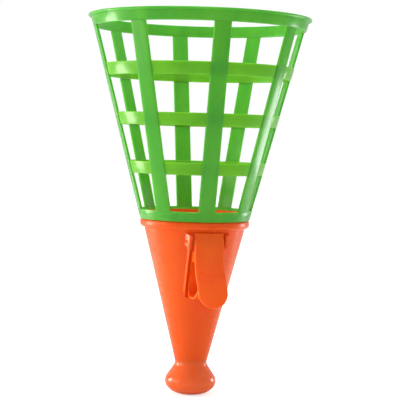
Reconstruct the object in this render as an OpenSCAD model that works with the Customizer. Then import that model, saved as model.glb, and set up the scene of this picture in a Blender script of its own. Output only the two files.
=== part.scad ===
// Pop and catch cup. A lattice basket stands on a cone handle that holds a ball of
// about 50 mm. Squeezing the trigger swings its loop in under the ball, which pops out
// and is caught in the basket.
// Upright, millimetres. The origin is on the axis under the knob, Z runs up along the
// axis and the trigger faces -Y. Side profiles are drawn in [distance from the axis
// towards the trigger, height].

/* [Basket] */
// Height of the rim above the bottom of the knob
rim_z = 255; // [250:1:262]
// Height of the joint where the basket sits on the handle
joint_z = 118.9; // [118.5:0.1:119.5]
// Outer radius of the lattice at the joint
foot_r = 37.1; // [37:0.1:37.6]
// Outer radius of the lattice at the rim
mouth_r = 73.8; // [68:0.2:74]
// Height of the foot ring
foot_h = 6.6; // [6:0.1:10]
// Width of a stave
stave_w = 11.1; // [8:0.1:13]
// Wall of staves, hoops and foot ring
lattice_t = 1.6; // [1.4:0.1:1.8]
// Turn of the first stave from the middle of the trigger, in degrees
stave_turn = -4.8; // [-20:0.1:20]
// Height of the lowest hoop's lower edge
hoop_z = 149.6; // [140:0.1:152]
// Distance from one hoop to the next
hoop_pitch = 32.15; // [28:0.05:33]
// Height of a hoop
hoop_h = 8.1; // [6:0.1:10]
// How far a hoop lies back from the faces of the staves
hoop_step = 0.6; // [0.3:0.1:0.9]

/* [Rim] */
// Height of the rim band
rim_h = 8.2; // [6:0.1:12]
// Radius of the lip around the mouth
lip_r = 75.2; // [75.2:0.1:77]
// Thickness of the lip
lip_h = 1.8; // [1.2:0.1:2.2]

/* [Handle] */
// Height of the joint between knob and cone
neck_z = 22.6; // [22.2:0.1:23]
// Outer radius of the neck
neck_r = 11; // [10.8:0.1:11.2]
// Outer radius of the cone under the bead
cone_r = 34.1; // [33.9:0.1:34.2]
// Wall of the cone
cone_t = 1.8; // [1.6:0.1:2]
// Radius of the bead that carries the basket
bead_r = 36.9; // [36.6:0.1:37.2]
// Height of the bead
bead_h = 5.6; // [5.4:0.1:5.8]
// How far the spigot reaches up inside the foot ring
spigot_h = 4.6; // [3:0.1:6]

/* [Knob] */
// Largest radius of the knob
knob_r = 17.4; // [17:0.1:17.8]
// Height of its widest place
knob_mid_z = 8.6; // [8.2:0.1:9]
// Radius of its round side
knob_round = 6.5; // [6:0.1:7]
// Radius of the flat at its end
knob_flat_r = 6; // [5.6:0.1:6.4]
// Radius of the hollow curve from the knob into the neck
neck_round = 4.2; // [3.4:0.1:5]

/* [Trigger] */
// Distance of the hinge from the axis
hinge_d = 31.3; // [31.2:0.1:31.4]
// Height of the hinge
hinge_z = 106; // [105.9:0.1:106.1]
// Width of the trigger
trigger_w = 20; // [19:0.1:20.4]
// Thickness of the finger plate
plate_t = 1.6; // [1.4:0.1:1.8]
// Thickness of the loop behind the finger plate
loop_t = 1.4; // [1.2:0.1:1.6]

/* [Window and guide rails] */
// Width of the window in the cone
window_w = 22; // [21.8:0.1:22.2]
// Height of the window's sill
window_z0 = 68; // [67:0.1:68]
// Height of the window's upper edge
window_z1 = 109.5; // [109.4:0.1:109.8]
// Clear width between the guide rails
rail_gap = 22.9; // [22.7:0.1:23.1]
// How far a guide rail stands out from the cone
rail_out = 2.4; // [2:0.1:2.8]
// How far a hinge boss stands out from the cone
boss_out = 4.5; // [4:0.1:4.8]

/* [Hinge pin and spring] */
// Diameter of the hinge pin
pin_d = 2.4; // [2:0.1:2.6]
// Length of the hinge pin
pin_l = 27.8; // [27:0.1:28]
// Radial play of the trigger on the pin
pin_play = 0.08; // [0.05:0.01:0.1]
// Diameter of the spring wire
wire_d = 0.6; // [0.5:0.1:0.6]
// Distance from one coil of the spring to the next
coil_pitch = 1.1; // [1.05:0.05:1.15]
// Radius of the coil, to the middle of the wire
coil_r = 2; // [1.95:0.05:2.1]
// Number of whole turns in the coil
coil_turns = 4; // [3:1:4]

/* [Hidden] */
$fn = 96;
// Overlap of touching bodies, and how far a cutter runs past what it cuts
tiny = 0.02;
over = 1;
far = 120;
// Largest step along a bend, in degrees
bend_step = 7.5;
green = [0.36, 0.70, 0.24];
orange = [0.93, 0.36, 0.16];
steel = [0.72, 0.72, 0.70];

stave_count = 8;
lattice_slope = (mouth_r - foot_r) / (rim_z - joint_z);
foot_top = joint_z + foot_h;
band_z = rim_z - rim_h;

bead_z = joint_z - bead_h;
bead_round = 1.5;
bead_low_round = 2.6;
cone_slope = (cone_r - neck_r) / (bead_z - neck_z);
spigot_gap = 0.1;
spigot_top = joint_z + spigot_h;

// Flat with a dot that the moulding gate leaves on the bead
gate_x = 1.5;
gate_z = 0.8;
gate_w = 6;
gate_h = 2.8;
gate_depth = 0.7;
gate_dot_r = 0.6;
gate_dot_h = 0.4;

knob_bore = 4.5;
knob_wall = 2.6;
knob_spigot_h = 11;

// Plan of a rail in [across, out from the cone], thinner towards its edge. Rail and
// boss lean with the cone.
side_x = rail_gap / 2;
rail_w = 0.9;
rail_base_w = 1.5;
rail_root = 1.4;
rail_plan = [
    [side_x, -rail_root],
    [side_x, rail_out],
    [side_x + rail_w, rail_out],
    [side_x + rail_base_w, 0],
    [side_x + rail_base_w, -rail_root]
];
rail_foot = [20.1, 71.5];
rail_lean = 15.8;
rail_l = 33;

// Plan of a boss in the same way. It stands a little further in than the rail.
boss_x = side_x - 0.25;
boss_w = 2.1;
boss_base_w = 3.4;
boss_root_w = 4.1;
boss_root = 2.8;
boss_plan = [
    [boss_x, -boss_root],
    [boss_x, boss_out],
    [boss_x + boss_w, boss_out],
    [boss_x + boss_base_w, 0],
    [boss_x + boss_root_w, -boss_root]
];
boss_at = 32.4;
boss_l = 9;

// Bore of the bosses, in which the pin sits without turning
pin_fit = 0.02;
hinge_at = [hinge_d, hinge_z];

// Middle line of the finger plate, from its upper edge, which rests on the cone above
// the window, down to the tip
finger_path = [[34.7, 111.6], [36.9, 103.2], [38.2, 87.4], [46.4, 77.2], [49.9, 64.2]];
finger_bends = [0, 15, 25, 25, 0];

// Side webs between the finger plate and the inner plate
web_z0 = 92.3;
web_z1 = 100;
web_t = 1.6;
web_profile = [[29.4, web_z1], [36.1, web_z1], [36.2, web_z0], [27.6, web_z0]];

// Middle line of the inner plate and of the loop that ends on the finger plate's back
loop_path = [[30.1, web_z1], [21.3, 68.9], [36.4, 68.9], [46.2, 75.65]];
loop_bends = [0, 3.5, 14, 0];

// Barrels on the pin and the necks between them and the finger plate
barrel_r = 2.5;
barrel_x0 = 3.6;
barrel_x1 = 10.6;
neck_x1 = 8.6;
neck_l = 4.1;
neck_t = 3;

// Heel that meets the inside of the cone when the trigger is fully pressed
heel_path = [[30.1, 106.4], [28.1, 109.2], [28.1, 113.1]];
heel_bends = [0, 1.5, 0];
heel_w = 4;
heel_t = 1.6;

// Ends of the spring: one bears inside the cone, one on the back of the finger plate
spring_up = [31.4, 111.2];
spring_down = [36.2, 97.8];
rings_per_turn = 8;
wire_sides = 6;

function lattice_r(z) = foot_r + lattice_slope * (z - joint_z);
function cone_radius(z) = neck_r + cone_slope * (z - neck_z);
function unit(v) = v / norm(v);
function turned(v, a) = [v.x * cos(a) - v.y * sin(a), v.x * sin(a) + v.y * cos(a)];
function left(v) = [-v.y, v.x];

// Ring of the lattice between two heights, proud of the staves' faces by out
module lattice_ring(z0, z1, out, t) {
    rotate_extrude() polygon([
        [lattice_r(z0) + out - t, z0],
        [lattice_r(z0) + out, z0],
        [lattice_r(z1) + out, z1],
        [lattice_r(z1) + out - t, z1]
    ]);
}

// Upright slab of the given width from the axis out past the lattice
module stave_slab(i, w) {
    rotate([0, 0, stave_turn + i * 360 / stave_count])
        translate([-w / 2, -far, foot_top])
            cube([w, far, band_z - foot_top]);
}

module stave(i) {
    color(green) intersection() {
        lattice_ring(foot_top, band_z, 0, lattice_t);
        stave_slab(i, stave_w);
    }
}

// Hoop with a notch where each stave crosses it
module hoop(i) {
    z = hoop_z + i * hoop_pitch;
    color(green) difference() {
        lattice_ring(z, z + hoop_h, -hoop_step, lattice_t);
        for (k = [0 : stave_count - 1]) intersection() {
            lattice_ring(z - over, z + hoop_h + over, over, lattice_t + over + tiny);
            stave_slab(k, stave_w + 2 * tiny);
        }
    }
}

module basket_foot() {
    color(green) lattice_ring(joint_z, foot_top, 0, lattice_t + tiny);
}

module basket_rim() {
    lip_inside = lattice_r(rim_z) - lattice_t;
    lip_middle = lip_r - lip_h / 2;
    color(green) union() {
        lattice_ring(band_z, rim_z, 0, lattice_t);
        rotate_extrude() {
            translate([lip_inside, rim_z - lip_h]) square([lip_middle - lip_inside, lip_h]);
            translate([lip_middle, rim_z - lip_h / 2]) circle(d = lip_h);
        }
    }
}

// Draws a side profile and gives it a width across the trigger, centred at x
module across(w, x = 0) {
    translate([x, 0, 0])
        rotate([90, 0, -90])
            linear_extrude(w, center = true) children();
}

// Round bar along the hinge axis, centred across the trigger
module hinge_bar(d, l) {
    translate([-l / 2, -hinge_d, hinge_z])
        rotate([0, 90, 0])
            cylinder(d = d, h = l);
}

// One side of a strip along a path with rounded corners, off to the left of its middle
function strip_side(path, bends, off) = [
    for (i = [0 : len(path) - 1])
        let (
            u = unit(path[max(i, 1)] - path[max(i, 1) - 1]),
            v = unit(path[min(i + 1, len(path) - 1)] - path[min(i, len(path) - 2)]),
            turn = atan2(cross(u, v), u * v),
            way = sign(turn),
            middle = path[i] - u * bends[i] * tan(abs(turn) / 2) + left(u) * way * bends[i],
            steps = ceil(abs(turn) / bend_step)
        )
        each bends[i] == 0 ? [path[i] + left(u) * off] : [
            for (k = [0 : steps])
                middle - turned(left(u), turn * k / steps) * way * (bends[i] - way * off)
        ]
];

// Strip of even thickness along such a path
module strip(path, bends, t) {
    back = strip_side(path, bends, -t / 2);
    polygon(concat(
        strip_side(path, bends, t / 2),
        [for (i = [len(back) - 1 : -1 : 0]) back[i]]
    ));
}

// Prism from a plan in [across, towards the trigger]
module upright(plan, h) {
    linear_extrude(h) polygon([for (p = plan) [p.x, -p.y]]);
}

// Rail on the +X side of the window and the boss on top of it, which holds the pin
module rail_and_boss() {
    translate([0, -rail_foot.x, rail_foot.y])
        rotate([rail_lean, 0, 0]) {
            upright(rail_plan, rail_l);
            translate([0, 0, boss_at]) upright(boss_plan, boss_l);
        }
}

module handle_outside() {
    rotate_extrude() {
        polygon([[0, neck_z], [neck_r, neck_z], [cone_r, bead_z], [0, bead_z]]);
        translate([0, bead_z]) square([bead_r - bead_low_round, bead_h]);
        translate([0, joint_z - bead_round]) square([bead_r - bead_round, bead_round]);
        translate([0, bead_z + bead_low_round])
            square([bead_r, bead_h - bead_low_round - bead_round]);
        translate([bead_r - bead_low_round, bead_z + bead_low_round]) circle(bead_low_round);
        translate([bead_r - bead_round, joint_z - bead_round]) circle(bead_round);
        polygon([
            [0, joint_z],
            [lattice_r(joint_z) - lattice_t - spigot_gap, joint_z],
            [lattice_r(spigot_top) - lattice_t - spigot_gap, spigot_top],
            [0, spigot_top]
        ]);
    }
    for (side = [0, 1]) mirror([side, 0, 0]) rail_and_boss();
}

// Space inside the cone, open at both ends
module handle_inside() {
    spigot_inset = 2 * lattice_t + spigot_gap;
    rotate_extrude() polygon([
        [0, neck_z - over],
        [cone_radius(neck_z - over) - cone_t, neck_z - over],
        [cone_radius(bead_z) - cone_t, bead_z],
        [lattice_r(joint_z) - spigot_inset, joint_z],
        [lattice_r(spigot_top + over) - spigot_inset, spigot_top + over],
        [0, spigot_top + over]
    ]);
}

module gate_mark() {
    gate_d = bead_r - gate_depth;
    difference() {
        translate([gate_x - gate_w / 2, -bead_r - over, bead_z + gate_z])
            cube([gate_w, gate_depth + over, gate_h]);
        translate([gate_x, 0, bead_z + gate_z + gate_h / 2])
            rotate([90, 0, 0])
                cylinder(r = gate_dot_r, h = gate_d + gate_dot_h);
    }
}

module handle_cone() {
    color(orange) difference() {
        handle_outside();
        handle_inside();
        translate([-window_w / 2, -far, window_z0])
            cube([window_w, far, window_z1 - window_z0]);
        hinge_bar(pin_d + 2 * pin_fit, far);
        gate_mark();
    }
}

// Plain wedge with its point at a place, between two directions in degrees
module wedge(at, a0, a1) {
    polygon([at, at + far * [cos(a0), sin(a0)], at + far * [cos(a1), sin(a1)]]);
}

// End piece pushed into the neck, hollow from above. A flat arc runs from the end up to
// the round side, and a hollow curve from there into the neck.
module knob() {
    side = [knob_r - knob_round, knob_mid_z];
    lead = side.x - knob_flat_r;
    low_round = (lead ^ 2 + knob_mid_z ^ 2 - knob_round ^ 2) / (2 * (knob_mid_z - knob_round));
    low = [knob_flat_r, low_round];
    meet = atan2(side.y - low.y, side.x - low.x);
    hollow = [neck_r, neck_z] + neck_round * unit([1, -cone_slope]);
    reach = hollow - side;
    lift = atan2(reach.y, reach.x) - acos((knob_round + neck_round) / norm(reach));
    way = [cos(lift), sin(lift)];
    color(orange) rotate_extrude() difference() {
        union() {
            polygon([[0, 0], [knob_flat_r, 0], low, [0, low.y]]);
            intersection() {
                translate(low) circle(low_round);
                wedge(low, -90, meet);
            }
            translate(side) circle(knob_round - tiny);
            polygon([
                [0, side.y],
                side,
                side + (knob_round - tiny) * way,
                hollow - neck_round * way,
                [neck_r, neck_z],
                [0, neck_z]
            ]);
            translate([0, neck_z]) square([cone_radius(neck_z) - cone_t - tiny, knob_spigot_h]);
        }
        translate(hollow) circle(neck_round - tiny);
        translate([-far, -far]) square([far, 2 * far]);
        translate([0, knob_wall]) square([knob_bore, far]);
    }
}

// Keeps the finger plate to its width and gives it a half-round end, square to the
// slope of its tip
module finger_outline() {
    reach = 30;
    tip = finger_path[4];
    up = unit(finger_path[3] - tip);
    middle = tip + up * trigger_w / 2;
    slope = atan2(up.y, up.x);
    translate([0, -middle.x, middle.y]) rotate([90 - slope, 0, 0]) {
        translate([0, reach, 0]) rotate([90, 0, 0]) cylinder(d = trigger_w, h = far + reach);
        translate([-trigger_w / 2, -far, 0]) cube([trigger_w, far + reach, far]);
    }
}

module finger_plate() {
    intersection() {
        rotate_extrude() strip(finger_path, finger_bends, plate_t);
        finger_outline();
    }
}

module inner_loop() {
    across(trigger_w) strip(loop_path, loop_bends, loop_t);
}

// Web, heel, barrel and neck on one side of the trigger
module trigger_side(side) {
    barrel_w = barrel_x1 - barrel_x0;
    neck_w = neck_x1 - barrel_x0;
    across(web_t, side * (trigger_w - web_t) / 2) polygon(web_profile);
    across(heel_w, side * (barrel_x0 + heel_w / 2)) strip(heel_path, heel_bends, heel_t);
    across(barrel_w, side * (barrel_x0 + barrel_w / 2)) translate(hinge_at) circle(barrel_r);
    across(neck_w, side * (barrel_x0 + neck_w / 2))
        translate(hinge_at - [0, neck_t / 2]) square([neck_l, neck_t]);
}

module trigger() {
    color(orange) difference() {
        union() {
            finger_plate();
            inner_loop();
            for (side = [-1, 1]) trigger_side(side);
        }
        hinge_bar(pin_d + 2 * pin_play, far);
    }
}

module hinge_pin() {
    color(orange) hinge_bar(pin_d, pin_l);
}

// The spring's wire: a leg up inside the cone, the coil round the pin, a leg down
// behind the finger plate. Both legs leave the coil along its tangent.
up_rel = spring_up - hinge_at;
down_rel = spring_down - hinge_at;
coil_start = atan2(up_rel.y, up_rel.x) + acos(coil_r / norm(up_rel));
coil_end = 360 * (coil_turns + 1) + atan2(down_rel.y, down_rel.x) - acos(coil_r / norm(down_rel));
coil_angle = coil_end - coil_start;
coil_half = coil_pitch * coil_angle / 720;
rings = ceil(coil_angle * rings_per_turn / 360);

function on_coil(a) = [
    coil_pitch * (a - coil_start) / 360 - coil_half,
    -hinge_d - coil_r * cos(a),
    hinge_z + coil_r * sin(a)
];
coil_points = [for (i = [0 : rings]) on_coil(coil_start + coil_angle * i / rings)];
wire_points = concat(
    [[-coil_half, -spring_up.x, spring_up.y]],
    coil_points,
    [[coil_half, -spring_down.x, spring_down.y]]
);

function wire_dir(i) =
    unit(wire_points[min(i + 1, len(wire_points) - 1)] - wire_points[max(i - 1, 0)]);
function wire_out(d) = unit([1, 0, 0] - d * d.x);
function wire_ring(i) =
    let (d = wire_dir(i), u = wire_out(d), v = cross(d, u))
    [for (k = [0 : wire_sides - 1])
        let (a = 360 * k / wire_sides)
        wire_points[i] + wire_d / 2 * (u * cos(a) + v * sin(a))];

// Least distance between the wire's surfaces on neighbouring turns
coil_gaps = [for (i = [0 : rings], j = [i + rings_per_turn / 2 + 1 : 1 : rings])
    norm(coil_points[i] - coil_points[j]) - wire_d];
echo(least_coil_gap = min(coil_gaps));

module return_spring() {
    last = len(wire_points) - 1;
    points = [for (i = [0 : last]) each wire_ring(i)];
    sides = [for (i = [0 : last - 1], k = [0 : wire_sides - 1])
        let (n = (k + 1) % wire_sides, a = i * wire_sides, b = a + wire_sides)
        each [[a + k, b + k, b + n], [a + k, b + n, a + n]]];
    end_at = last * wire_sides;
    start_cap = [for (k = [1 : wire_sides - 2]) [0, k, k + 1]];
    end_cap = [for (k = [1 : wire_sides - 2]) [end_at, end_at + k + 1, end_at + k]];
    color(steel) polyhedron(points, concat(sides, start_cap, end_cap));
}

basket_rim();
hoop(0);  // hoop_1
hoop(1);  // hoop_2
hoop(2);  // hoop_3
basket_foot();
stave(0);  // stave_1
stave(1);  // stave_2
stave(2);  // stave_3
stave(3);  // stave_4
stave(4);  // stave_5
stave(5);  // stave_6
stave(6);  // stave_7
stave(7);  // stave_8
handle_cone();
knob();
trigger();
hinge_pin();
return_spring();
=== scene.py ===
"""Looks of a pop and catch cup: lattice basket, cone handle, knob, trigger, hinge pin and spring.

Everything is in metres and stands where the frame's nodes stand: Z runs up the axis and the
trigger faces -Y.
"""

import logging
import math
from dataclasses import dataclass
from enum import Enum

import bmesh
import bpy
from mathutils import Matrix, Vector


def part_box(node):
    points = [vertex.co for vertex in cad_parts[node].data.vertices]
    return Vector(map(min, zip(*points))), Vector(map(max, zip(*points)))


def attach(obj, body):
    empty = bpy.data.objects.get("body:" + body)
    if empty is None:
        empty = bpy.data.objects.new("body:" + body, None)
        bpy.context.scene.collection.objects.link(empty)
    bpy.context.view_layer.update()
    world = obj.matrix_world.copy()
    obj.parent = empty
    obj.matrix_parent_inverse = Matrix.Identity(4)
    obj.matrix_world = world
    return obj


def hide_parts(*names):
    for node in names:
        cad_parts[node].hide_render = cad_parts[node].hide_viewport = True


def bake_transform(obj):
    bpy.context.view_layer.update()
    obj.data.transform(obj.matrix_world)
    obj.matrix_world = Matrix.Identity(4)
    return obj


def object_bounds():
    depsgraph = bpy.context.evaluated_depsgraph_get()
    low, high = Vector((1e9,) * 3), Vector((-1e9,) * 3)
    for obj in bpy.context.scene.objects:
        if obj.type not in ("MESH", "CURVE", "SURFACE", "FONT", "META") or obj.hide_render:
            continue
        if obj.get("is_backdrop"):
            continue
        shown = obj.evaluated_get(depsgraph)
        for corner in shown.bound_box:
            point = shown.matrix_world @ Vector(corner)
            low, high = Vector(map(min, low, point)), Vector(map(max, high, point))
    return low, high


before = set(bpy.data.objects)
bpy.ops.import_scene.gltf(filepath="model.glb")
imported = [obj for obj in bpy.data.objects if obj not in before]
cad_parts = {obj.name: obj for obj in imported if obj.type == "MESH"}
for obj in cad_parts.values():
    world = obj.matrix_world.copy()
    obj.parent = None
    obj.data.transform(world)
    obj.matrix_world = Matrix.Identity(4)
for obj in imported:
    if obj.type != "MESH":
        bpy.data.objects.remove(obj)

LOG = logging.getLogger("pop_and_catch_cup")
MM = 0.001
WHITE = (1.0, 1.0, 1.0, 1.0)

# How near points are that are one, and how near a cutting plane they are when on it
MERGE = 0.001 * MM
ON_PLANE = 0.02 * MM

# Angles in degrees above which an edge is sharp: in shading, and where edges are rounded
SHARP_ANGLE = 38
SLAB_CORNER = 35
RING_CORNER = 25
ROD_CORNER = 60

# Facets across a rounded edge and round a full ring, and the bevel profile that is an arc
EDGE_FACETS = 3
RING_FACETS = 160
ARC_PROFILE = 0.5

# The curve between a screen's values and linear ones: a straight toe, then a power
TOE_END = 0.04045
TOE_SLOPE = 12.92
CURVE_SHIFT = 0.055
CURVE_POWER = 2.4

BMesh = bmesh.types.BMesh
Pair = tuple[float, float]
Point = tuple[float, float, float]
Outline = tuple[Pair, ...]


def linear(code: str) -> tuple[float, float, float, float]:
    """Turns a colour as it shows on a screen into the linear values that a shader takes.

    Args:
        code: six hexadecimal digits, two each for red, green and blue.

    Returns:
        Red, green, blue and an alpha of 1.
    """
    shown = [int(code[i : i + 2], 16) / 255 for i in (0, 2, 4)]
    values = [
        c / TOE_SLOPE if c <= TOE_END else ((c + CURVE_SHIFT) / (1 + CURVE_SHIFT)) ** CURVE_POWER
        for c in shown
    ]
    return (*values, 1.0)


class Signal:
    """A shader socket that can be used in arithmetic. Each operation adds one Math node."""

    def __init__(self, shader: "Shader", socket: bpy.types.NodeSocket) -> None:
        """Keeps the socket and the shader that it belongs to."""
        self.shader = shader
        self.socket = socket

    def _math(self, operation: str, other: "Signal | float") -> "Signal":
        """Adds a Math node that takes this value first and another second."""
        made = self.shader.node("ShaderNodeMath", {"operation": operation}, {0: self, 1: other})
        return Signal(self.shader, made.outputs[0])

    def __add__(self, other: "Signal | float") -> "Signal":
        """Adds a value to this one."""
        return self._math("ADD", other)

    def __mul__(self, other: "Signal | float") -> "Signal":
        """Multiplies this value by another."""
        return self._math("MULTIPLY", other)


class Shader:
    """A node material with the few calls that the finishes need."""

    # A Mix node has sockets for every kind of data. These are the ones for colours.
    MIX_FIRST = 6
    MIX_SECOND = 7
    MIX_RESULT = 2

    def __init__(self, name: str) -> None:
        """Makes an empty material with a Principled shader."""
        self.material = bpy.data.materials.new(name)
        self.material.use_nodes = True
        self.tree = self.material.node_tree
        self.surface = self.tree.nodes["Principled BSDF"]
        self.place = self.node("ShaderNodeTexCoord").outputs["Object"]

    def node(
        self, kind: str, settings: dict | None = None, sockets: dict | None = None
    ) -> bpy.types.Node:
        """Adds a node.

        Args:
            kind: the node's type.
            settings: its settings by name.
            sockets: values, sockets or signals by input name or number.

        Returns:
            The new node.
        """
        made = self.tree.nodes.new(kind)
        for key, value in (settings or {}).items():
            setattr(made, key, value)
        for key, value in (sockets or {}).items():
            self.feed(made.inputs[key], value)
        return made

    def feed(self, target: bpy.types.NodeSocket, value: object) -> None:
        """Links a socket or signal to an input, or sets the input's value.

        Args:
            target: the input.
            value: a socket, a signal or what the input holds.
        """
        if isinstance(value, Signal):
            value = value.socket
        if isinstance(value, bpy.types.NodeSocket):
            self.tree.links.new(value, target)
        else:
            target.default_value = value

    def mapped(self, scale: Point) -> bpy.types.NodeSocket:
        """The piece's own coordinates, stretched by a scale for each axis."""
        made = self.node("ShaderNodeMapping", {}, {"Vector": self.place, "Scale": scale})
        return made.outputs["Vector"]

    def noise(self, scale: Point | float, detail: float = 3.0, rough: float = 0.5) -> Signal:
        """A cloudy pattern.

        Args:
            scale: how many blotches there are in a metre, on all axes or on each.
            detail: how many finer layers it has.
            rough: how strong the finer layers are.

        Returns:
            A value around one half.
        """
        each = scale if isinstance(scale, tuple) else (scale, scale, scale)
        made = self.node(
            "ShaderNodeTexNoise",
            {},
            {"Vector": self.mapped(each), "Scale": 1.0, "Detail": detail, "Roughness": rough},
        )
        return Signal(self, made.outputs["Fac"])

    def above(self, value: Signal, low: float, high: float) -> Signal:
        """Maps low to 0 and high to 1, and clips what lies outside."""
        made = self.node(
            "ShaderNodeMapRange",
            {"clamp": True},
            {"Value": value, "From Min": low, "From Max": high},
        )
        return Signal(self, made.outputs["Result"])

    def mix(self, amount: Signal, first: object, second: object) -> bpy.types.NodeSocket:
        """Mixes two colours.

        Args:
            amount: 0 for the first colour, 1 for the second.
            first: a colour or a socket.
            second: a colour or a socket.

        Returns:
            The mixed colour.
        """
        made = self.node(
            "ShaderNodeMix",
            {"data_type": "RGBA", "clamp_factor": True},
            {0: amount, self.MIX_FIRST: first, self.MIX_SECOND: second},
        )
        return made.outputs[self.MIX_RESULT]

    def bump(self, height: Signal, depth: float, strength: float) -> None:
        """Feeds a height pattern to the surface's normal.

        Args:
            height: the pattern, from 0 to 1.
            depth: the height in metres at 1.
            strength: how much of it shows.
        """
        made = self.node(
            "ShaderNodeBump", {}, {"Height": height, "Distance": depth, "Strength": strength}
        )
        self.feed(self.surface.inputs["Normal"], made.outputs["Normal"])


class Grain(Enum):
    """How the melt flowed in the mould, as blotches in a metre on each axis."""

    UPRIGHT = (90.0, 90.0, 14.0)
    EVEN = (45.0, 45.0, 45.0)


@dataclass(frozen=True)
class MouldedPlastic:
    """Glossy moulded plastic that lets some light through.

    Glow is the share of light that comes through, with its reach in millimetres for red, green
    and blue. Scales are in blotches to a metre. Edges are the noise values at which a pattern
    starts and is full, and shares say how much it changes what it is laid on.
    """

    name: str
    colour: str
    deep: str
    pale: str
    roughness: float
    glow: float
    glow_reach: Point
    grain: Grain = Grain.EVEN
    shine: float = 0.3
    bend_of_light: float = 1.5
    flow_roughness: float = 0.55
    flow_edges: Pair = (0.36, 0.62)
    cloud_scale: float = 24.0
    cloud_edges: Pair = (0.5, 0.78)
    cloud_share: float = 0.4
    smudge_scale: float = 60.0
    smudge_edges: Pair = (0.3, 0.75)
    smudge_share: float = 0.08
    scuff_scale: Point = (900.0, 900.0, 70.0)
    scuff_edges: Pair = (0.66, 0.74)
    scuff_share: float = 0.12
    cleanest: float = 0.04
    peel_scale: float = 420.0
    peel_share: float = 0.2
    sink_scale: float = 70.0
    relief: float = 0.12 * MM
    relief_strength: float = 0.5

    def material(self) -> bpy.types.Material:
        """Builds the node material.

        Returns:
            The material, with flow streaks in its colour, handling marks in its gloss and a
            faint unevenness in its surface.
        """
        shader = Shader(self.name)
        inputs = shader.surface.inputs
        flow = shader.noise(self.grain.value, detail=4.0, rough=self.flow_roughness)
        cloud = shader.above(shader.noise(self.cloud_scale, detail=2.0), *self.cloud_edges)
        tone = shader.mix(shader.above(flow, *self.flow_edges), linear(self.deep), linear(self.colour))
        tone = shader.mix(cloud * self.cloud_share, tone, linear(self.pale))
        shader.feed(inputs["Base Color"], tone)

        smudges = shader.above(shader.noise(self.smudge_scale), *self.smudge_edges)
        scuffs = shader.above(shader.noise(self.scuff_scale, detail=2.0), *self.scuff_edges)
        marks = smudges * self.smudge_share + scuffs * self.scuff_share
        shader.feed(inputs["Roughness"], marks + (self.roughness - self.cleanest))

        peel = shader.noise(self.peel_scale, detail=2.0)
        sink = shader.noise(self.sink_scale, detail=1.0)
        height = sink * (1 - self.peel_share) + peel * self.peel_share
        shader.bump(height, depth=self.relief, strength=self.relief_strength)

        inputs["Subsurface Weight"].default_value = self.glow
        inputs["Subsurface Radius"].default_value = self.glow_reach
        inputs["Subsurface Scale"].default_value = MM
        inputs["IOR"].default_value = self.bend_of_light
        inputs["Specular IOR Level"].default_value = self.shine
        return shader.material


@dataclass(frozen=True)
class DrawnWire:
    """Bare spring wire with fine lines along its length."""

    name: str
    colour: str
    stain: str
    roughness: float = 0.18
    line_scale: Point = (2200.0, 500.0, 500.0)
    line_share: float = 0.2
    line_depth: float = 0.01 * MM
    line_strength: float = 0.5
    patch_scale: float = 300.0
    patch_edges: Pair = (0.52, 0.72)
    patch_share: float = 0.15
    stain_share: float = 0.6

    def material(self) -> bpy.types.Material:
        """Builds the node material of the wire.

        Returns:
            The material, with drawing lines and dull patches.
        """
        shader = Shader(self.name)
        inputs = shader.surface.inputs
        lines = shader.noise(self.line_scale, detail=2.0)
        patches = shader.above(shader.noise(self.patch_scale), *self.patch_edges)
        tone = shader.mix(patches * self.stain_share, linear(self.colour), linear(self.stain))
        shader.feed(inputs["Base Color"], tone)
        marks = lines * self.line_share + patches * self.patch_share
        shader.feed(inputs["Roughness"], marks + self.roughness)
        shader.bump(lines, depth=self.line_depth, strength=self.line_strength)
        inputs["Metallic"].default_value = 1.0
        return shader.material


GREEN = MouldedPlastic(
    name="green_plastic",
    colour="68b420",
    deep="5caa1e",
    pale="76ba2a",
    roughness=0.22,
    glow=0.8,
    glow_reach=(5.0, 5.0, 0.8),
    shine=0.24,
)
GREEN_STAVE = MouldedPlastic(
    name="green_plastic_stave",
    colour="50ae2c",
    deep="44a42a",
    pale="60b430",
    roughness=0.2,
    glow=0.8,
    glow_reach=(5.0, 4.5, 0.8),
    grain=Grain.UPRIGHT,
)
ORANGE = MouldedPlastic(
    name="orange_plastic",
    colour="ee5d0d",
    deep="ea570a",
    pale="f26513",
    roughness=0.26,
    glow=0.6,
    glow_reach=(3.0, 1.8, 0.4),
    grain=Grain.UPRIGHT,
    shine=0.22,
)
# The knob's colours are paler than the cone's: a painted sheen, the soft wash of light on the knob put
# into its base colour.
ORANGE_KNOB_PAINTED_SHEEN = MouldedPlastic(
    name="orange_plastic_knob_painted_sheen",
    colour="f46a24",
    deep="f0621a",
    pale="f8722e",
    roughness=0.16,
    glow=0.6,
    glow_reach=(3.0, 2.2, 0.8),
    shine=0.45,
)
ORANGE_THIN = MouldedPlastic(
    name="orange_plastic_trigger",
    colour="f66a18",
    deep="f06012",
    pale="f87220",
    roughness=0.3,
    glow=0.9,
    glow_reach=(2.5, 2.0, 0.6),
    shine=0.22,
)
WIRE = DrawnWire(name="spring_wire", colour="b9b8b2", stain="8b8378")


@dataclass(frozen=True)
class Bend:
    """The stretch over which a springy piece turns from a still body to its own."""

    still_body: str
    start: Point
    end: Point


@dataclass(frozen=True)
class Fixing:
    """What a piece hangs on: its body, finish slot, any bend, and the frame's nodes it stands for."""

    body: str
    slot: str
    nodes: tuple[str, ...]
    bend: Bend | None = None


def meshed(name: str, bm: BMesh) -> bpy.types.Mesh:
    """Turns a bmesh into a mesh.

    Args:
        name: the mesh's name.
        bm: the bmesh, which is freed.

    Returns:
        The new mesh.
    """
    mesh = bpy.data.meshes.new(name)
    bm.to_mesh(mesh)
    bm.free()
    return mesh


def placed(name: str, data: bpy.types.ID) -> bpy.types.Object:
    """Makes an object and puts it into the scene.

    Args:
        name: the object's name.
        data: its mesh, lamp or camera.

    Returns:
        The new object.
    """
    made = bpy.data.objects.new(name, data)
    bpy.context.scene.collection.objects.link(made)
    return made


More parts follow.
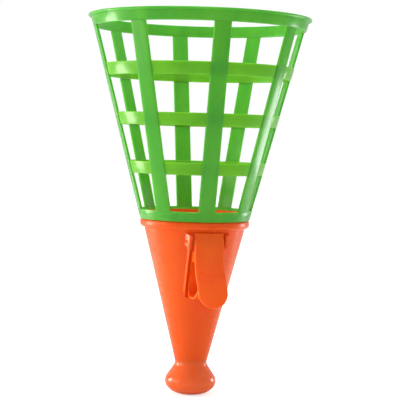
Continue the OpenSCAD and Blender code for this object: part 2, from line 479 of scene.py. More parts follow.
def finished(name: str, bm: BMesh, material: bpy.types.Material, fixing: Fixing) -> bpy.types.Object:
    """Turns a bmesh into a dressed piece of the object.

    Args:
        name: the piece's name.
        bm: its mesh, which is freed.
        material: its finish.
        fixing: its body, slot, nodes and any bend. The slot is not used, and a piece with a bend is not
            bent and hangs on no body.

    Returns:
        The new object, at the origin with its place in its mesh.
    """
    mesh = meshed(name, bm)
    mesh.shade_smooth()
    mesh.set_sharp_from_angle(angle=math.radians(SHARP_ANGLE))
    mesh.materials.append(material)
    piece = placed(name, mesh)
    if fixing.bend:
        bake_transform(piece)
    else:
        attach(piece, fixing.body)
    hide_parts(*fixing.nodes)
    LOG.info("%s: %d faces, stands for %s", name, len(mesh.polygons), ", ".join(fixing.nodes))
    return piece


def corners_in(geometry: list) -> list:
    """The vertices among what an operator made."""
    return [g for g in geometry if isinstance(g, bmesh.types.BMVert)]


def round_edges(bm: BMesh, edges: list, radius: float) -> None:
    """Bevels edges with a round section."""
    bmesh.ops.bevel(
        bm,
        geom=edges,
        offset=radius,
        offset_type="OFFSET",
        segments=EDGE_FACETS,
        profile=ARC_PROFILE,
        affect="EDGES",
        clamp_overlap=True,
        material=-1,
    )


def sharp_edges(bm: BMesh, angle: float) -> list:
    """The outward edges at which two faces meet at more than an angle, in degrees."""
    limit = math.radians(angle)
    return [
        e
        for e in bm.edges
        if len(e.link_faces) == 2 and e.is_convex and e.calc_face_angle(0.0) > limit
    ]


def prism(plan: list[Pair], height: float, edge: float) -> BMesh:
    """A slab that stands on the XY plane, with rounded edges.

    Args:
        plan: its outline as (x, y) points, in order.
        height: how high it is.
        edge: how round its edges are.

    Returns:
        A closed mesh.
    """
    bm = bmesh.new()
    base = bm.faces.new([bm.verts.new((x, y, 0.0)) for x, y in plan])
    made = bmesh.ops.extrude_face_region(bm, geom=[base])
    bmesh.ops.translate(bm, vec=(0, 0, height), verts=corners_in(made["geom"]))
    bmesh.ops.recalc_face_normals(bm, faces=bm.faces)
    if edge:
        round_edges(bm, sharp_edges(bm, SLAB_CORNER), edge)
    return bm


def rectangle(left: float, right: float, low: float, high: float) -> list[Pair]:
    """The corners of an upright rectangle, in order."""
    return [(left, low), (right, low), (right, high), (left, high)]


def block(low: Point, high: Point) -> BMesh:
    """A box.

    Args:
        low: its lowest corner.
        high: its highest corner.

    Returns:
        A closed mesh.
    """
    plan = rectangle(low[0], high[0], low[1], high[1])
    bm = prism(plan, high[2] - low[2], 0.0)
    bmesh.ops.translate(bm, vec=(0, 0, low[2]), verts=bm.verts)
    return bm


def rod(centre: Point, radius: float, length: float, axis: str = "Y", facets: int = 48) -> BMesh:
    """A round bar.

    Args:
        centre: its middle.
        radius: its radius.
        length: its length.
        axis: the axis about which an upright bar is turned by 90 degrees, X or Y.
        facets: how many facets go round.

    Returns:
        A closed mesh.
    """
    bm = bmesh.new()
    bmesh.ops.create_cone(
        bm,
        cap_ends=True,
        segments=facets,
        radius1=radius,
        radius2=radius,
        depth=length,
        matrix=Matrix.Translation(centre) @ Matrix.Rotation(math.pi / 2, 4, axis),
    )
    return bm


def mirrored(bm: BMesh) -> BMesh:
    """Mirrors a mesh to the other side of the trigger.

    Args:
        bm: the mesh, which stays as it is.

    Returns:
        The mirrored copy.
    """
    other = bm.copy()
    bmesh.ops.scale(other, vec=(-1, 1, 1), verts=other.verts)
    bmesh.ops.reverse_faces(other, faces=other.faces)
    return other


class Join(Enum):
    """What one mesh does to another."""

    ADD = "UNION"
    CUT = "DIFFERENCE"


def combined(base: BMesh, others: list[BMesh], join: Join) -> BMesh:
    """Unites closed meshes with another, or cuts them from it.

    Args:
        base: the mesh to change. It is freed, as the others are.
        others: the meshes to add or take away.
        join: what they do to it.

    Returns:
        The new closed mesh.
    """
    stand_ins = [placed("stand_in", meshed("stand_in", bm)) for bm in (base, *others)]
    for tool in stand_ins[1:]:
        step = stand_ins[0].modifiers.new("step", "BOOLEAN")
        step.operation = join.value
        step.solver = "EXACT"
        step.object = tool
    ready = stand_ins[0].evaluated_get(bpy.context.evaluated_depsgraph_get())
    made = bmesh.new()
    made.from_mesh(ready.to_mesh())
    ready.to_mesh_clear()
    for stand_in in stand_ins:
        bpy.data.meshes.remove(stand_in.data)
    bmesh.ops.remove_doubles(made, verts=made.verts, dist=MERGE)
    bmesh.ops.dissolve_degenerate(made, edges=made.edges, dist=MERGE)
    return made


def sliced(bm: BMesh, way: Point, places: list[float]) -> None:
    """Cuts a mesh across at several places along a direction, so that it can bend there."""
    for place in places:
        bmesh.ops.bisect_plane(
            bm,
            geom=[*bm.verts, *bm.edges, *bm.faces],
            dist=ON_PLANE,
            plane_co=Vector(way) * place,
            plane_no=way,
        )


class Section:
    """A line in the XZ plane that grows from point to point and is spun round the axis."""

    def __init__(self, r: float, z: float) -> None:
        """Starts the line at a distance from the axis and a height."""
        self.bm = bmesh.new()
        self.first = self.last = self.bm.verts.new((r, 0.0, z))

    def to(self, *points: Pair) -> "Section":
        """Adds straight runs.

        Args:
            points: where they lead, as (distance from the axis, height) points.

        Returns:
            The section itself.
        """
        for r, z in points:
            corner = self.bm.verts.new((r, 0.0, z))
            self.bm.edges.new((self.last, corner))
            self.last = corner
        return self

    def arc(self, r: float, z: float, degrees: float, steps: int) -> "Section":
        """Adds an arc.

        Args:
            r: its centre's distance from the axis.
            z: its centre's height.
            degrees: how far it turns, anticlockwise with the axis on the left.
            steps: how many facets it has.

        Returns:
            The section itself.
        """
        made = bmesh.ops.spin(
            self.bm,
            geom=[self.last],
            cent=(r, 0, z),
            axis=(0, -1, 0),
            angle=math.radians(degrees),
            steps=steps,
        )
        self.last = corners_in(made["geom_last"])[0]
        return self

    def closed(self) -> "Section":
        """Joins the end to the start."""
        self.bm.edges.new((self.last, self.first))
        return self

    def revolved(self, edge: float = 0.0) -> BMesh:
        """Spins the line once round the axis.

        Args:
            edge: how round the edges are made.

        Returns:
            A closed mesh, where the line is closed or runs from the axis to the axis.
        """
        bm = self.bm
        bmesh.ops.spin(
            bm,
            geom=[*bm.verts, *bm.edges],
            cent=(0, 0, 0),
            axis=(0, 0, 1),
            angle=math.tau,
            steps=RING_FACETS,
            use_merge=True,
        )
        bmesh.ops.remove_doubles(bm, verts=bm.verts, dist=MERGE)
        bmesh.ops.recalc_face_normals(bm, faces=bm.faces)
        if edge:
            round_edges(bm, sharp_edges(bm, RING_CORNER), edge)
        return bm


@dataclass(frozen=True)
class Track:
    """A bent strip's middle line, seen from the side: straight runs joined by round bends.

    Its corners are (distance from the axis, height) points, and each has the radius of its bend.
    A bend turns by up to `step` degrees for each facet, and a strip that curves round the axis
    has `lanes` facets on each side of its middle.
    """

    corners: Outline
    bends: tuple[float, ...]
    step: float = 2.5
    lanes: int = 4

    def spots(self) -> list[tuple[float, Vector, float]]:
        """Points along the line.

        Returns:
            For each point its length along the line, its place and the line's heading there.
        """
        ends = [Vector(corner) for corner in self.corners]
        runs = [b - a for a, b in zip(ends, ends[1:])]
        made = []
        for i, (end, radius) in enumerate(zip(ends, self.bends)):
            before, after = runs[max(i - 1, 0)], runs[min(i, len(runs) - 1)]
            heading = math.atan2(before.y, before.x)
            turn = math.atan2(before.cross(after), before.dot(after))
            start = end - before.normalized() * radius * math.tan(abs(turn) / 2)
            side = Vector((-math.sin(heading), math.cos(heading))) * math.copysign(radius, turn)
            steps = math.ceil(abs(math.degrees(turn)) / self.step) if radius else 0
            for k in range(steps + 1):
                part = turn * k / max(steps, 1)
                made.append((start + side - Matrix.Rotation(part, 2) @ side, heading + part))
        length, spots = 0.0, []
        for i, (place, heading) in enumerate(made):
            length += (place - made[i - 1][0]).length if i else 0.0
            spots.append((length, place, heading))
        return spots

    def length(self) -> float:
        """The length of the whole line."""
        return self.spots()[-1][0]

    def bent(self, bm: BMesh, about_axis: bool) -> BMesh:
        """Lays a flat slab along the line.

        Args:
            bm: a slab whose Y runs along the line, with Z = 0 on the line.
            about_axis: whether it also curves round the axis, as the cone does.

        Returns:
            The same mesh, bent.
        """
        spots = self.spots()
        sliced(bm, (0, 1, 0), [spot[0] for spot in spots[1:-1]])
        for v in bm.verts:
            along = min(max(v.co.y, 0.0), spots[-1][0])
            i = max(k for k, spot in enumerate(spots[:-1]) if spot[0] <= along)
            (near, a, turn_a), (far, b, turn_b) = spots[i], spots[i + 1]
            part = (along - near) / (far - near)
            heading = turn_a + (turn_b - turn_a) * part
            side = Vector((-math.sin(heading), math.cos(heading)))
            place = a.lerp(b, part) + side * v.co.z
            depth = math.sqrt(place.x**2 - v.co.x**2) if about_axis else place.x
            v.co = (v.co.x, -depth, place.y)
        bm.normal_update()
        bmesh.ops.recalc_face_normals(bm, faces=bm.faces)
        return bm

    def strip(
        self, outline: list[Pair], thickness: float, edge: float, about_axis: bool = False
    ) -> BMesh:
        """A bent strip of even thickness.

        Args:
            outline: its outline as (across, along) points.
            thickness: its thickness.
            edge: how round its edges are.
            about_axis: whether it also curves round the axis.

        Returns:
            A closed mesh.
        """
        bm = prism(outline, thickness, edge)
        bmesh.ops.translate(bm, vec=(0, 0, -thickness / 2), verts=bm.verts)
        if about_axis:
            half = max(x for x, _ in outline)
            inside = range(1 - self.lanes, self.lanes)
            sliced(bm, (1, 0, 0), [half * k / self.lanes for k in inside])
        return self.bent(bm, about_axis)


def millimetres(*points: Pair) -> Outline:
    """Points given in millimetres, in metres."""
    return tuple((a * MM, b * MM) for a, b in points)


@dataclass
class Basket:
    """The green lattice: rim, hoops, foot ring and staves."""

    body: str = "cup"
    slot: str = "basket"
    hoops: int = 3
    staves: int = 8
    wall: float = 1.6 * MM
    stave_width: float = 11.1 * MM
    hoop_step: float = 0.6 * MM
    lip_height: float = 1.8 * MM
    lip_facets: int = 10
    sunk: float = 0.4 * MM
    edge: float = 0.35 * MM

    def __post_init__(self) -> None:
        """Reads the lattice's heights and radii from the frame."""
        foot_low, foot_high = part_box("basket_foot")
        rim_low, rim_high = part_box("basket_rim")
        hoop_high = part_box(f"hoop_{self.hoops}")[1]
        self.foot_z = (foot_low.z, foot_high.z)
        self.rim_z = (rim_low.z, rim_high.z)
        self.lip_radius = (rim_high.x - rim_low.x) / 2
        hoop_radius = hoop_high.x + self.hoop_step
        self.slope = (hoop_radius - foot_high.x) / (hoop_high.z - foot_high.z)
        self.foot_radius = foot_high.x

    def radius(self, z: float) -> float:
        """The outer radius of the staves at a height."""
        return self.foot_radius + self.slope * (z - self.foot_z[1])

    def band(self, low: float, high: float, proud: float) -> BMesh:
        """A ring that follows the lattice.

        Args:
            low: its lower edge.
            high: its upper edge.
            proud: how far it stands out from the staves.

        Returns:
            A closed mesh.
        """
        outside, top = self.radius(low) + proud, self.radius(high) + proud
        line = Section(outside - self.wall, low)
        line.to((outside, low), (top, high), (top - self.wall, high)).closed()
        return line.revolved(self.edge)

    def rim(self) -> BMesh:
        """The rim band with its round lip.

        Returns:
            A closed mesh.
        """
        low, high = self.rim_z
        under, round_r = high - self.lip_height, self.lip_height / 2
        centre = self.lip_radius - round_r
        line = Section(self.radius(low) - self.wall, low)
        line.to((self.radius(low), low), (self.radius(under), under), (centre, under))
        line.arc(centre, under + round_r, 180, self.lip_facets)
        line.to((self.radius(high) - self.wall, high)).closed()
        return line.revolved(self.edge)

    def stave(self, number: int) -> BMesh:
        """One stave, bent to the cone of the lattice.

        Args:
            number: the stave's number, from 1.

        Returns:
            A slab whose ends run into the foot ring and the rim.
        """
        low, high = self.foot_z[1] - self.sunk, self.rim_z[0] + self.sunk
        middle = self.wall / 2
        ends = ((self.radius(low) - middle, low), (self.radius(high) - middle, high))
        track = Track(ends, (0.0, 0.0))
        half = self.stave_width / 2
        outline = rectangle(-half, half, 0.0, track.length())
        bm = track.strip(outline, self.wall, self.edge, about_axis=True)
        low_corner, high_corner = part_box(f"stave_{number}")
        toward = (low_corner + high_corner) / 2
        turn = Matrix.Rotation(math.atan2(toward.x, -toward.y), 3, "Z")
        bmesh.ops.rotate(bm, cent=(0, 0, 0), matrix=turn, verts=bm.verts)
        return bm

    def build(self) -> None:
        """Builds and dresses every piece of the basket."""
        hoop_finish = GREEN.material()
        stave_finish = GREEN_STAVE.material()
        made = {"basket_rim": self.rim(), "basket_foot": self.band(*self.foot_z, 0.0)}
        for number in range(1, self.hoops + 1):
            low, high = (corner.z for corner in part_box(f"hoop_{number}"))
            made[f"hoop_{number}"] = self.band(low, high, -self.hoop_step)
        for number in range(1, self.staves + 1):
            made[f"stave_{number}"] = self.stave(number)
        for node, bm in made.items():
            finish = hoop_finish if node.startswith("hoop") else stave_finish
            finished(f"{node}_shell", bm, finish, Fixing(self.body, self.slot, (node,)))


@dataclass
class Handle:
    """The orange cone with its bead, rails and bosses, the knob and the hinge pin.

    `lean` is in degrees. `bead_facets` are those of the bead's lower and upper arc, and
    `knob_facets` those of the low arc, the side and the neck.
    """

    body: str = "cup"
    slot: str = "handle"
    neck: Pair = (11.0 * MM, 22.6 * MM)
    cone_top: Pair = (34.1 * MM, 113.3 * MM)
    wall: float = 1.8 * MM
    bead_radius: float = 36.9 * MM
    bead_round: float = 1.5 * MM
    bead_low_round: float = 2.6 * MM
    bead_facets: tuple[int, int] = (9, 6)
    joint: float = 118.9 * MM
    spigot_out: Pair = (35.4 * MM, 36.64 * MM)
    spigot_wall: float = 1.6 * MM
    spigot_top: float = 123.5 * MM
    window_half: float = 11.0 * MM
    window_z: Pair = (68.0 * MM, 109.5 * MM)
    rail_plan: Outline = millimetres(
        (11.45, -1.4), (11.45, 2.4), (12.35, 2.4), (12.95, 0.0), (12.95, -1.4)
    )
    rail_foot: Pair = (20.1 * MM, 71.5 * MM)
    lean: float = 15.8
    rail_length: float = 33.0 * MM
    boss_plan: Outline = millimetres(
        (11.2, -2.8), (11.2, 4.5), (13.3, 4.5), (14.6, 0.0), (15.3, -2.8)
    )
    boss_at: Pair = (32.4 * MM, 41.4 * MM)
    rail_edge: float = 0.3 * MM
    gate: Outline = millimetres((-1.5, 4.5), (114.1, 116.9))
    gate_depth: float = 0.7 * MM
    gate_dot: Pair = (0.6 * MM, 0.4 * MM)
    dot_facets: int = 24
    knob_widest: float = 8.6 * MM
    knob_round: float = 6.5 * MM
    knob_flat: float = 6.0 * MM
    neck_round: float = 4.2 * MM
    knob_bore: float = 4.5 * MM
    knob_floor: float = 2.6 * MM
    knob_spigot: float = 11.0 * MM
    knob_facets: tuple[int, int, int] = (12, 18, 10)
    pin_edge: float = 0.25 * MM
    far: float = 60 * MM

    def __post_init__(self) -> None:
        """Reads the knob's width and the pin's place from the frame."""
        self.knob_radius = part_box("knob")[1].x
        low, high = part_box("hinge_pin")
        self.pin_middle = tuple((low + high) / 2)
        self.pin_radius = (high.z - low.z) / 2
        self.pin_length = high.x - low.x

    def outside(self) -> BMesh:
        """The cone, its bead and the spigot inside the basket, without the hollow.

        Returns:
            A closed mesh.
        """
        low, high = self.spigot_out
        low_facets, top_facets = self.bead_facets
        under, centre = self.bead_radius - self.bead_low_round, self.bead_radius - self.bead_round
        bottom, top = self.cone_top[1], self.joint - self.bead_round
        line = Section(0.0, self.neck[1]).to(self.neck, self.cone_top, (under, bottom))
        line.arc(under, bottom + self.bead_low_round, 90, low_facets).to((self.bead_radius, top))
        line.arc(centre, top, 90, top_facets).to((low, self.joint), (high, self.spigot_top))
        return line.to((0.0, self.spigot_top)).revolved()

    def hollow(self) -> BMesh:
        """The space inside the cone, a little longer than the cone at both ends.

        Returns:
            A closed mesh.
        """
        slope = (self.cone_top[0] - self.neck[0]) / (self.cone_top[1] - self.neck[1])
        low, high = (radius - self.spigot_wall for radius in self.spigot_out)
        past = MM
        start, end = self.neck[1] - past, self.spigot_top + past
        line = Section(0.0, start).to((self.neck[0] - self.wall - slope * past, start))
        line.to((self.cone_top[0] - self.wall, self.cone_top[1]), (low, self.joint))
        return line.to((high, self.spigot_top), (high, end), (0.0, end)).revolved()

    def upright(self, plan: Outline, low: float, high: float) -> BMesh:
        """A bar on the +X side of the window that leans with the cone.

        Args:
            plan: its (across, out from the cone) outline.
            low: how far up the cone it starts.
            high: how far up it ends.

        Returns:
            A closed mesh.
        """
        bm = prism([(x, -y) for x, y in plan], high - low, self.rail_edge)
        bmesh.ops.translate(bm, vec=(0, 0, low), verts=bm.verts)
        lean = Matrix.Rotation(math.radians(self.lean), 3, "X")
        bmesh.ops.rotate(bm, cent=(0, 0, 0), matrix=lean, verts=bm.verts)
        bmesh.ops.translate(bm, vec=(0, -self.rail_foot[0], self.rail_foot[1]), verts=bm.verts)
        return bm

    def gate_cut(self) -> BMesh:
        """What the moulding gate's flat takes from the bead, around its dot.

        Returns:
            A closed mesh.
        """
        (left, right), (low, high) = self.gate
        radius, rise = self.gate_dot
        flat = -self.bead_radius + self.gate_depth
        cut = block((left, -self.bead_radius - MM, low), (right, flat, high))
        middle = ((left + right) / 2, flat, (low + high) / 2)
        dot = rod(middle, radius, 2 * rise, "X", self.dot_facets)
        return combined(cut, [dot], Join.CUT)

    def cone(self) -> BMesh:
        """The hollow cone with its window, rails, bosses and gate mark.

        Returns:
            A closed mesh.
        """
        rail = self.upright(self.rail_plan, 0.0, self.rail_length)
        boss = self.upright(self.boss_plan, *self.boss_at)
        solid = combined(self.outside(), [rail, mirrored(rail), boss, mirrored(boss)], Join.ADD)
        low, high = self.window_z
        window = block((-self.window_half, -self.far, low), (self.window_half, 0.0, high))
        bore = rod(self.pin_middle, self.pin_radius, 2 * self.far)
        return combined(solid, [self.hollow(), window, bore, self.gate_cut()], Join.CUT)

    def knob(self) -> BMesh:
        """The knob with its spigot: a flat end, a low arc, the round side and a hollow neck.

        Each arc starts in the direction in which the one before it ends, and the line between
        side and neck touches both.

        Returns:
            A closed mesh.
        """
        side = Vector((self.knob_radius - self.knob_round, self.knob_widest))
        lead = side.x - self.knob_flat
        low_round = (lead**2 + side.y**2 - self.knob_round**2) / (2 * (side.y - self.knob_round))
        meet = math.atan2(side.y - low_round, lead)
        lean = math.atan2(self.cone_top[0] - self.neck[0], self.cone_top[1] - self.neck[1])
        hollow = Vector(self.neck) + Vector((math.cos(lean), -math.sin(lean))) * self.neck_round
        reach = hollow - side
        rounds = self.knob_round + self.neck_round
        lift = math.atan2(reach.y, reach.x) - math.acos(rounds / reach.length)
        flank = hollow - Vector((math.cos(lift), math.sin(lift))) * self.neck_round
        spigot, top = self.neck[0] - self.wall, self.neck[1] + self.knob_spigot
        low_facets, side_facets, neck_facets = self.knob_facets
        line = Section(0.0, 0.0).to((self.knob_flat, 0.0))
        line.arc(self.knob_flat, low_round, math.degrees(math.pi / 2 + meet), low_facets)
        line.arc(side.x, side.y, math.degrees(lift - meet), side_facets).to(tuple(flank))
        line.arc(hollow.x, hollow.y, -math.degrees(lift + lean), neck_facets)
        line.to((spigot, self.neck[1]), (spigot, top), (self.knob_bore, top))
        return line.to((self.knob_bore, self.knob_floor), (0.0, self.knob_floor)).revolved()

    def pin(self) -> BMesh:
        """The pin that carries the trigger, with rounded ends.

        Returns:
            A closed mesh.
        """
        bm = rod(self.pin_middle, self.pin_radius, self.pin_length)
        round_edges(bm, sharp_edges(bm, ROD_CORNER), self.pin_edge)
        return bm

    def build(self) -> None:
        """Builds and dresses the handle's pieces."""
        cone_finish = ORANGE.material()
        # The knob's finish carries a painted sheen: its base colour is paler than the cone's.
        knob_painted_sheen_finish = ORANGE_KNOB_PAINTED_SHEEN.material()
        pin_finish = ORANGE_THIN.material()
        cone_fixing = Fixing(self.body, self.slot, ("handle_cone",))
        finished("cone_shell", self.cone(), cone_finish, cone_fixing)
        finished("knob_shell", self.knob(), knob_painted_sheen_finish, Fixing(self.body, self.slot, ("knob",)))
        finished("hinge_rod", self.pin(), pin_finish, Fixing(self.body, "hinge_pin", ("hinge_pin",)))


@dataclass
class Trigger:
    """The hinged trigger and its return spring.

    `barrel` holds its radius and where it starts and ends across, `heel_side` the heel's sides
    across, and `neck` (across, distance from the axis) points. All other pairs are (distance
    from the axis, height) points.
    """

    body: str = "trigger"
    still_body: str = "cup"
    slot: str = "trigger"
    hinge: Pair = (31.3 * MM, 106.0 * MM)
    width: float = 20.0 * MM
    plate: Track = Track(
        millimetres((34.7, 111.6), (36.9, 103.2), (38.2, 87.4), (46.4, 77.2), (49.9, 64.2)),
        (0.0, 15 * MM, 25 * MM, 25 * MM, 0.0),
    )
    plate_wall: float = 1.6 * MM
    plate_edge: float = 0.45 * MM
    tip_facets: int = 24
    loop: Track = Track(
        millimetres((30.1, 100.0), (21.3, 68.9), (36.4, 68.9), (46.2, 75.65)),
        (0.0, 3.5 * MM, 14 * MM, 0.0),
        5.0,
    )
    loop_wall: float = 1.4 * MM
    web: Outline = millimetres((30.0, 99.7), (36.1, 99.7), (36.2, 92.7), (28.1, 92.7))
    web_wall: float = 1.6 * MM
    barrel: tuple[float, float, float] = (2.5 * MM, 3.6 * MM, 10.6 * MM)
    neck: Outline = millimetres((3.75, 35.5), (9.9, 34.5))
    neck_wall: float = 3.0 * MM
    side_inset: float = 0.06 * MM
    heel: Track = Track(
        millimetres((30.1, 106.4), (28.1, 109.2), (28.1, 113.1)),
        (0.0, 1.5 * MM, 0.0),
        10.0,
    )
    heel_side: Pair = (3.9 * MM, 7.6 * MM)
    heel_wall: float = 1.6 * MM
    bore: float = 1.28 * MM
    edge: float = 0.3 * MM
    wire: float = 0.3 * MM
    coil: float = 2.0 * MM
    coil_pitch: float = 1.1 * MM
    coil_turns: int = 4
    wire_ends: Outline = millimetres((31.4, 111.2), (36.2, 97.8))
    wire_bend: Outline = millimetres((31.3, 110.8), (31.3, 108.6))
    wire_facets: int = 12
    coil_facets: int = 28
    far: float = 60 * MM

    def finger_plate(self) -> BMesh:
        """The plate that the finger pulls, with its half-round end.

        Returns:
            A closed mesh.
        """
        half, length = self.width / 2, self.plate.length()
        turns = [math.pi * k / self.tip_facets for k in range(self.tip_facets + 1)]
        tip = [(half * math.cos(turn), length - half + half * math.sin(turn)) for turn in turns]
        outline = [(-half, 0.0), (half, 0.0), *tip]
        return self.plate.strip(outline, self.plate_wall, self.plate_edge, about_axis=True)

    def inner_loop(self) -> BMesh:
        """The inner plate behind the window and the loop that runs on from it."""
        outline = rectangle(-self.width / 2, self.width / 2, 0.0, self.loop.length())
        return self.loop.strip(outline, self.loop_wall, self.edge)

    def side_web(self) -> BMesh:
        """The web on the +X side, between the finger plate and the inner plate.

        Returns:
            A closed mesh.
        """
        middle = self.width / 2 - self.side_inset - self.web_wall / 2
        bm = prism(list(self.web), self.web_wall, self.edge)
        for v in bm.verts:
            v.co = (middle - self.web_wall / 2 + v.co.z, -v.co.x, v.co.y)
        bm.normal_update()
        bmesh.ops.recalc_face_normals(bm, faces=bm.faces)
        return bm

    def side(self) -> list[BMesh]:
        """The trigger's parts at its sides.

        Returns:
            Barrel, neck, web and heel on the +X side, then the same on the other side.
        """
        radius, near, far = self.barrel
        out, up = self.hinge
        flat_heel = rectangle(*self.heel_side, 0.0, self.heel.length())
        heel = self.heel.strip(flat_heel, self.heel_wall, self.edge)
        (near_x, near_reach), (far_x, far_reach) = self.neck
        plan = [(near_x, -out), (near_x, -near_reach), (far_x, -far_reach), (far_x, -out)]
        neck = prism(plan, self.neck_wall, 0.0)
        bmesh.ops.translate(neck, vec=(0, 0, up - self.neck_wall / 2), verts=neck.verts)
        barrel = rod(((near + far) / 2, -out, up), radius, far - near)
        pieces = [barrel, neck, self.side_web(), heel]
        return pieces + [mirrored(piece) for piece in pieces]

    def lever(self) -> BMesh:
        """Finger plate, loop, webs, heels and barrels in one moulding, with the pin's bore.

        Returns:
            A closed mesh.
        """
        solid = combined(self.finger_plate(), [self.inner_loop(), *self.side()], Join.ADD)
        out, up = self.hinge
        return combined(solid, [rod((0.0, -out, up), self.bore, self.far)], Join.CUT)

    def spring(self) -> BMesh:
        """The wound wire: a coil round the pin with two straight legs that leave it smoothly.

        Returns:
            A closed mesh.
        """
        out, up = self.hinge
        rises = [Vector((d - out, z - up)) for d, z in self.wire_ends]
        reach = [math.acos(self.coil / rise.length) for rise in rises]
        first = math.atan2(rises[0].y, rises[0].x) + reach[0]
        last = math.tau * (self.coil_turns + 1) + math.atan2(rises[1].y, rises[1].x) - reach[1]
        half = self.coil_pitch * (last - first) / math.tau / 2
        steps = round((last - first) / math.tau * self.coil_facets)
        start = Vector((-half, -out - self.coil * math.cos(first), up + self.coil * math.sin(first)))
        bm = bmesh.new()
        along = Vector((0, math.sin(first), math.cos(first)))
        turned = Matrix.Translation(start) @ along.to_track_quat("Z", "X").to_matrix().to_4x4()
        bmesh.ops.create_circle(
            bm, cap_ends=True, segments=self.wire_facets, radius=self.wire, matrix=turned
        )
        begin = bm.faces[:]
        spun = bmesh.ops.spin(
            bm,
            geom=begin,
            cent=(0, -out, up),
            axis=(-1, 0, 0),
            dvec=(2 * half / steps, 0, 0),
            angle=last - first,
            steps=steps,
        )
        ends = [g for g in spun["geom_last"] if isinstance(g, bmesh.types.BMFace)]
        finish = Vector((half, -out - self.coil * math.cos(last), up + self.coil * math.sin(last)))
        legs = ((ends, finish, self.wire_ends[1]), (begin, start, self.wire_ends[0]))
        for caps, place, (d, z) in legs:
            leg = bmesh.ops.extrude_face_region(bm, geom=caps)
            bmesh.ops.delete(bm, geom=caps, context="FACES_ONLY")
            bmesh.ops.translate(bm, vec=Vector((place.x, -d, z)) - place, verts=corners_in(leg["geom"]))
        bmesh.ops.recalc_face_normals(bm, faces=bm.faces)
        return bm

    def build(self) -> None:
        """Builds and dresses the trigger's pieces.

        The spring's upper leg ends in the cone. The stretch above its coil where it would bend is given
        in its fixing, but the spring is not bent, and it hangs on no body.
        """
        lever_finish = ORANGE_THIN.material()
        lever_fixing = Fixing(self.body, self.slot, ("trigger",))
        finished("trigger_lever", self.lever(), lever_finish, lever_fixing)
        start, end = ((0.0, -out, up) for out, up in self.wire_bend)
        bend = Bend(self.still_body, start, end)
        spring_fixing = Fixing(self.body, "spring", ("return_spring",), bend)
        finished("spring_wire", self.spring(), WIRE.material(), spring_fixing)


@dataclass(frozen=True)
class Viewpoint:
    """Where the cup is seen from. Angles are in degrees and lengths in metres."""

    azimuth: float = -16.5
    distance: float = 0.8838
    height: float = 0.1738
    pitch: float = 2.72
    yaw: float = 0.207
    roll: float = 1.613
    lens: float = 117.4
    sensor: float = 36.0

    def place(self) -> Matrix:
        """Works out where the camera stands and looks: nearly level, a little down and tilted.

        Returns:
            The camera's matrix.
        """
        pitch, yaw, roll = (math.radians(a) for a in (self.pitch, self.yaw, self.roll))
        ahead = Vector(
            (math.sin(yaw) * math.cos(pitch), math.cos(yaw) * math.cos(pitch), -math.sin(pitch))
        )
        level = Vector((math.cos(yaw), -math.sin(yaw), 0.0))
        upright = level.cross(ahead)
        right = level * math.cos(roll) + upright * math.sin(roll)
        up = upright * math.cos(roll) - level * math.sin(roll)
        turned = Matrix((right, up, -ahead)).transposed().to_4x4()
        turned.translation = (0.0, -self.distance, self.height)
        return Matrix.Rotation(math.radians(self.azimuth), 4, "Z") @ turned

    def build(self) -> None:
        """Adds the camera to the scene."""
        data = bpy.data.cameras.new("view")
        data.lens = self.lens
        data.sensor_width = self.sensor
        camera = placed("view", data)
        camera.matrix_world = self.place()
        bpy.context.scene.camera = camera


@dataclass(frozen=True)
class Softbox:
    """A soft lamp that looks at the axis.

    Angles are in degrees, and its azimuth is counted from the camera's. Lengths are in metres,
    its power is in watts, and `aim` is the height that it looks at.
    """

    name: str
    azimuth: float
    elevation: float
    distance: float
    size: Pair
    power: float
    aim: float
    tint: str = "ffffff"

    def build(self, front: float) -> None:
        """Adds the lamp.

        Args:
            front: the camera's azimuth, in degrees.
        """
        around = math.radians(front + self.azimuth)
        above = math.radians(self.elevation)
        target = Vector((0.0, 0.0, self.aim))
        away = Vector(
            (math.sin(around) * math.cos(above), -math.cos(around) * math.cos(above), math.sin(above))
        )
        data = bpy.data.lights.new(self.name, "AREA")
        data.shape = "RECTANGLE"
        data.size, data.size_y = self.size
        data.energy = self.power
        data.color = linear(self.tint)[:3]
        lamp = placed(self.name, data)
        lamp.location = target + away * self.distance
        lamp.rotation_euler = away.to_track_quat("Z", "Y").to_euler()
        lamp.visible_camera = False


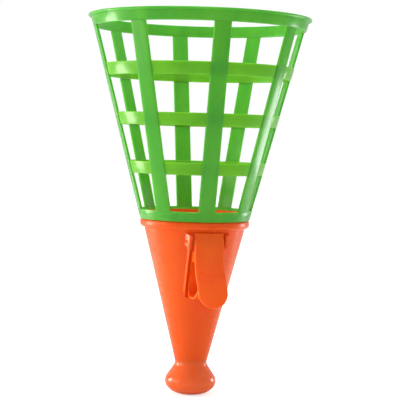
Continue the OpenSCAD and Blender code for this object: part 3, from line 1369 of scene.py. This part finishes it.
@dataclass(frozen=True)
class Studio:
    """A pale floor, an even sky, two small low lamps for the glints and two wide soft ones."""

    sky: float = 0.62
    backdrop: float = 1.0
    floor_radius: float = 3.0
    floor_facets: int = 64
    floor_drop: float = 0.2 * MM
    floor_colour: str = "f4f4f3"
    floor_roughness: float = 0.9
    floor_lift: float = 0.6
    softboxes: tuple[Softbox, ...] = (
        Softbox("softbox_left", -105.0, 0.0, 0.42, (0.14, 0.15), power=0.7, aim=0.085, tint="fffaf0"),
        Softbox("softbox_right", 118.0, 0.0, 0.42, (0.13, 0.14), power=0.4, aim=0.085),
        Softbox("softbox_wide", -85.0, 4.0, 0.9, (0.9, 0.7), power=5.0, aim=0.12, tint="fff8e6"),
        Softbox("softbox_high", -60.0, 84.0, 0.9, (0.5, 0.5), power=5.0, aim=0.1),
    )

    def floor(self) -> None:
        """Adds the floor, which looks white and keeps a soft shadow."""
        shader = Shader("floor")
        shader.feed(shader.surface.inputs["Base Color"], linear(self.floor_colour))
        shader.surface.inputs["Roughness"].default_value = self.floor_roughness
        seen = Signal(shader, shader.node("ShaderNodeLightPath").outputs["Is Camera Ray"])
        lift = shader.node("ShaderNodeEmission", {}, {"Strength": seen * self.floor_lift})
        both = shader.node(
            "ShaderNodeAddShader",
            {},
            {0: shader.surface.outputs[0], 1: lift.outputs[0]},
        )
        shader.feed(shader.tree.nodes["Material Output"].inputs["Surface"], both.outputs[0])
        bm = bmesh.new()
        bmesh.ops.create_circle(
            bm, cap_ends=True, segments=self.floor_facets, radius=self.floor_radius
        )
        bmesh.ops.translate(bm, vec=(0, 0, -self.floor_drop), verts=bm.verts)
        mesh = meshed("floor", bm)
        mesh.materials.append(shader.material)
        floor = placed("floor", mesh)
        floor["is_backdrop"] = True

    def world(self) -> None:
        """Lights the scene evenly and shows white behind the cup."""
        world = bpy.data.worlds.new("sky")
        world.use_nodes = True
        bpy.context.scene.world = world
        nodes, links = world.node_tree.nodes, world.node_tree.links
        seen = nodes.new("ShaderNodeLightPath").outputs["Is Camera Ray"]
        sky = nodes["Background"]
        sky.inputs["Color"].default_value = WHITE
        sky.inputs["Strength"].default_value = self.sky
        white = nodes.new("ShaderNodeBackground")
        white.inputs["Color"].default_value = WHITE
        white.inputs["Strength"].default_value = self.backdrop
        both = nodes.new("ShaderNodeMixShader")
        links.new(seen, both.inputs[0])
        links.new(sky.outputs[0], both.inputs[1])
        links.new(white.outputs[0], both.inputs[2])
        links.new(both.outputs[0], nodes["World Output"].inputs["Surface"])

    def build(self, front: float) -> None:
        """Adds floor, sky and lamps.

        Args:
            front: the camera's azimuth, in degrees.
        """
        bpy.context.scene.view_settings.view_transform = "Standard"
        self.floor()
        self.world()
        for softbox in self.softboxes:
            softbox.build(front)


def corners() -> list[list[float]]:
    """The shown object's lowest and highest corner as plain numbers."""
    return [list(corner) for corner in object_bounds()]


def main() -> None:
    """Builds the cup and the studio."""
    logging.basicConfig(level=logging.INFO, format="%(name)s: %(message)s")
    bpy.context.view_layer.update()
    for assembly in (Basket(), Handle(), Trigger()):
        assembly.build()
        LOG.info("%s is built", type(assembly).__name__)
    view = Viewpoint()
    view.build()
    Studio().build(view.azimuth)


if __name__ == "__main__":
    main()
